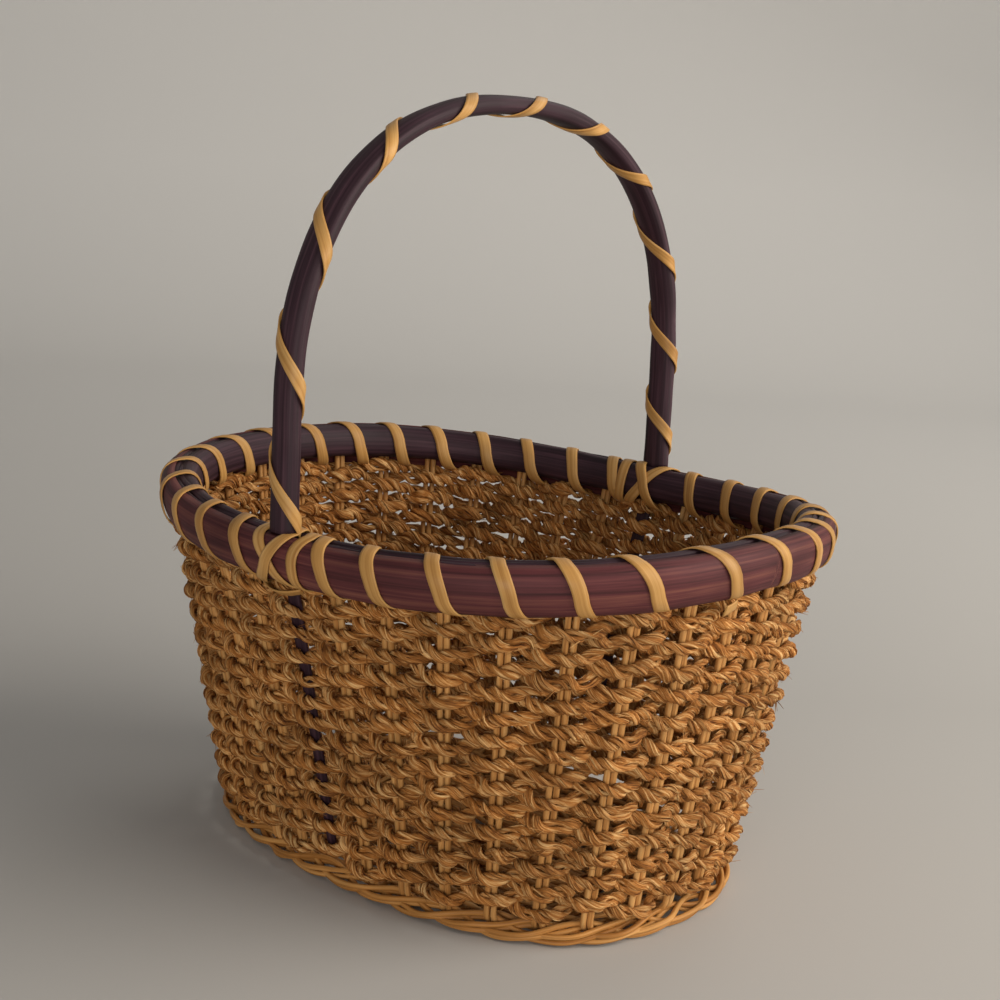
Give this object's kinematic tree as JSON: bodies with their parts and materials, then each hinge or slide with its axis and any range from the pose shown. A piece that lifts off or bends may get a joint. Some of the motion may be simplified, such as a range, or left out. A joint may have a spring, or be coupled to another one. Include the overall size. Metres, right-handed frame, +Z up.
{
  "type": "rope basket",
  "caption": "Oval flared basket of woven rope on paired reed stakes, with a dyed reed rim bound in cane and a fixed cane-wrapped arched handle.",
  "frame": {"origin": "middle of the base, on the surface it stands on", "axes": "+Z up, +X along the long way of the oval, and the handle spans +Y and -Y"},
  "size_m": [0.2761, 0.2392, 0.3016],
  "materials": {
    "rope": "matt twisted grass fibre, golden brown",
    "reed": "natural reed, satin",
    "dyed_reed": "reed dyed dark plum brown, satin",
    "cane": "flat cane strip, satin"
  },
  "bodies": {
    "root": {"base_wale_rod_1": "reed", "base_wale_rod_2": "reed", "base_wale_rod_3": "reed", "base_weaver": "reed", "handle": "dyed_reed", "handle_tie_back_1": "cane", "handle_tie_back_2": "cane", "handle_tie_front_1": "cane", "handle_tie_front_2": "cane", "handle_wrap": "cane", "rim_binding_left": "cane", "rim_binding_right": "cane", "rim_filler_left": "dyed_reed", "rim_filler_right": "dyed_reed", "rim_inner": "dyed_reed", "rim_outer": "dyed_reed", "rope_course_01_lower": "rope", "rope_course_01_upper": "rope", "rope_course_02_lower": "rope", "rope_course_02_upper": "rope", "rope_course_03_lower": "rope", "rope_course_03_upper": "rope", "rope_course_04_lower": "rope", "rope_course_04_upper": "rope", "rope_course_05_lower": "rope", "rope_course_05_upper": "rope", "rope_course_06_lower": "rope", "rope_course_06_upper": "rope", "rope_course_07_lower": "rope", "rope_course_07_upper": "rope", "rope_course_08_lower": "rope", "rope_course_08_upper": "rope", "rope_course_09_lower": "rope", "rope_course_09_upper": "rope", "rope_course_10_lower": "rope", "rope_course_10_upper": "rope", "rope_course_11_lower": "rope", "rope_course_11_upper": "rope", "rope_course_12_lower": "rope", "rope_course_12_upper": "rope", "rope_course_13_lower": "rope", "rope_course_13_upper": "rope", "stake_pair_cross_01": "reed", "stake_pair_cross_02": "reed", "stake_pair_cross_03": "reed", "stake_pair_cross_04": "reed", "stake_pair_cross_05": "reed", "stake_pair_cross_06": "reed", "stake_pair_cross_07": "reed", "stake_pair_cross_08": "reed", "stake_pair_cross_09": "reed", "stake_pair_cross_10": "reed", "stake_pair_cross_11": "reed", "stake_pair_cross_12": "reed", "stake_pair_long_01": "reed", "stake_pair_long_02": "reed", "stake_pair_long_03": "reed", "stake_pair_long_04": "reed"}
  },
  "joints": []
}
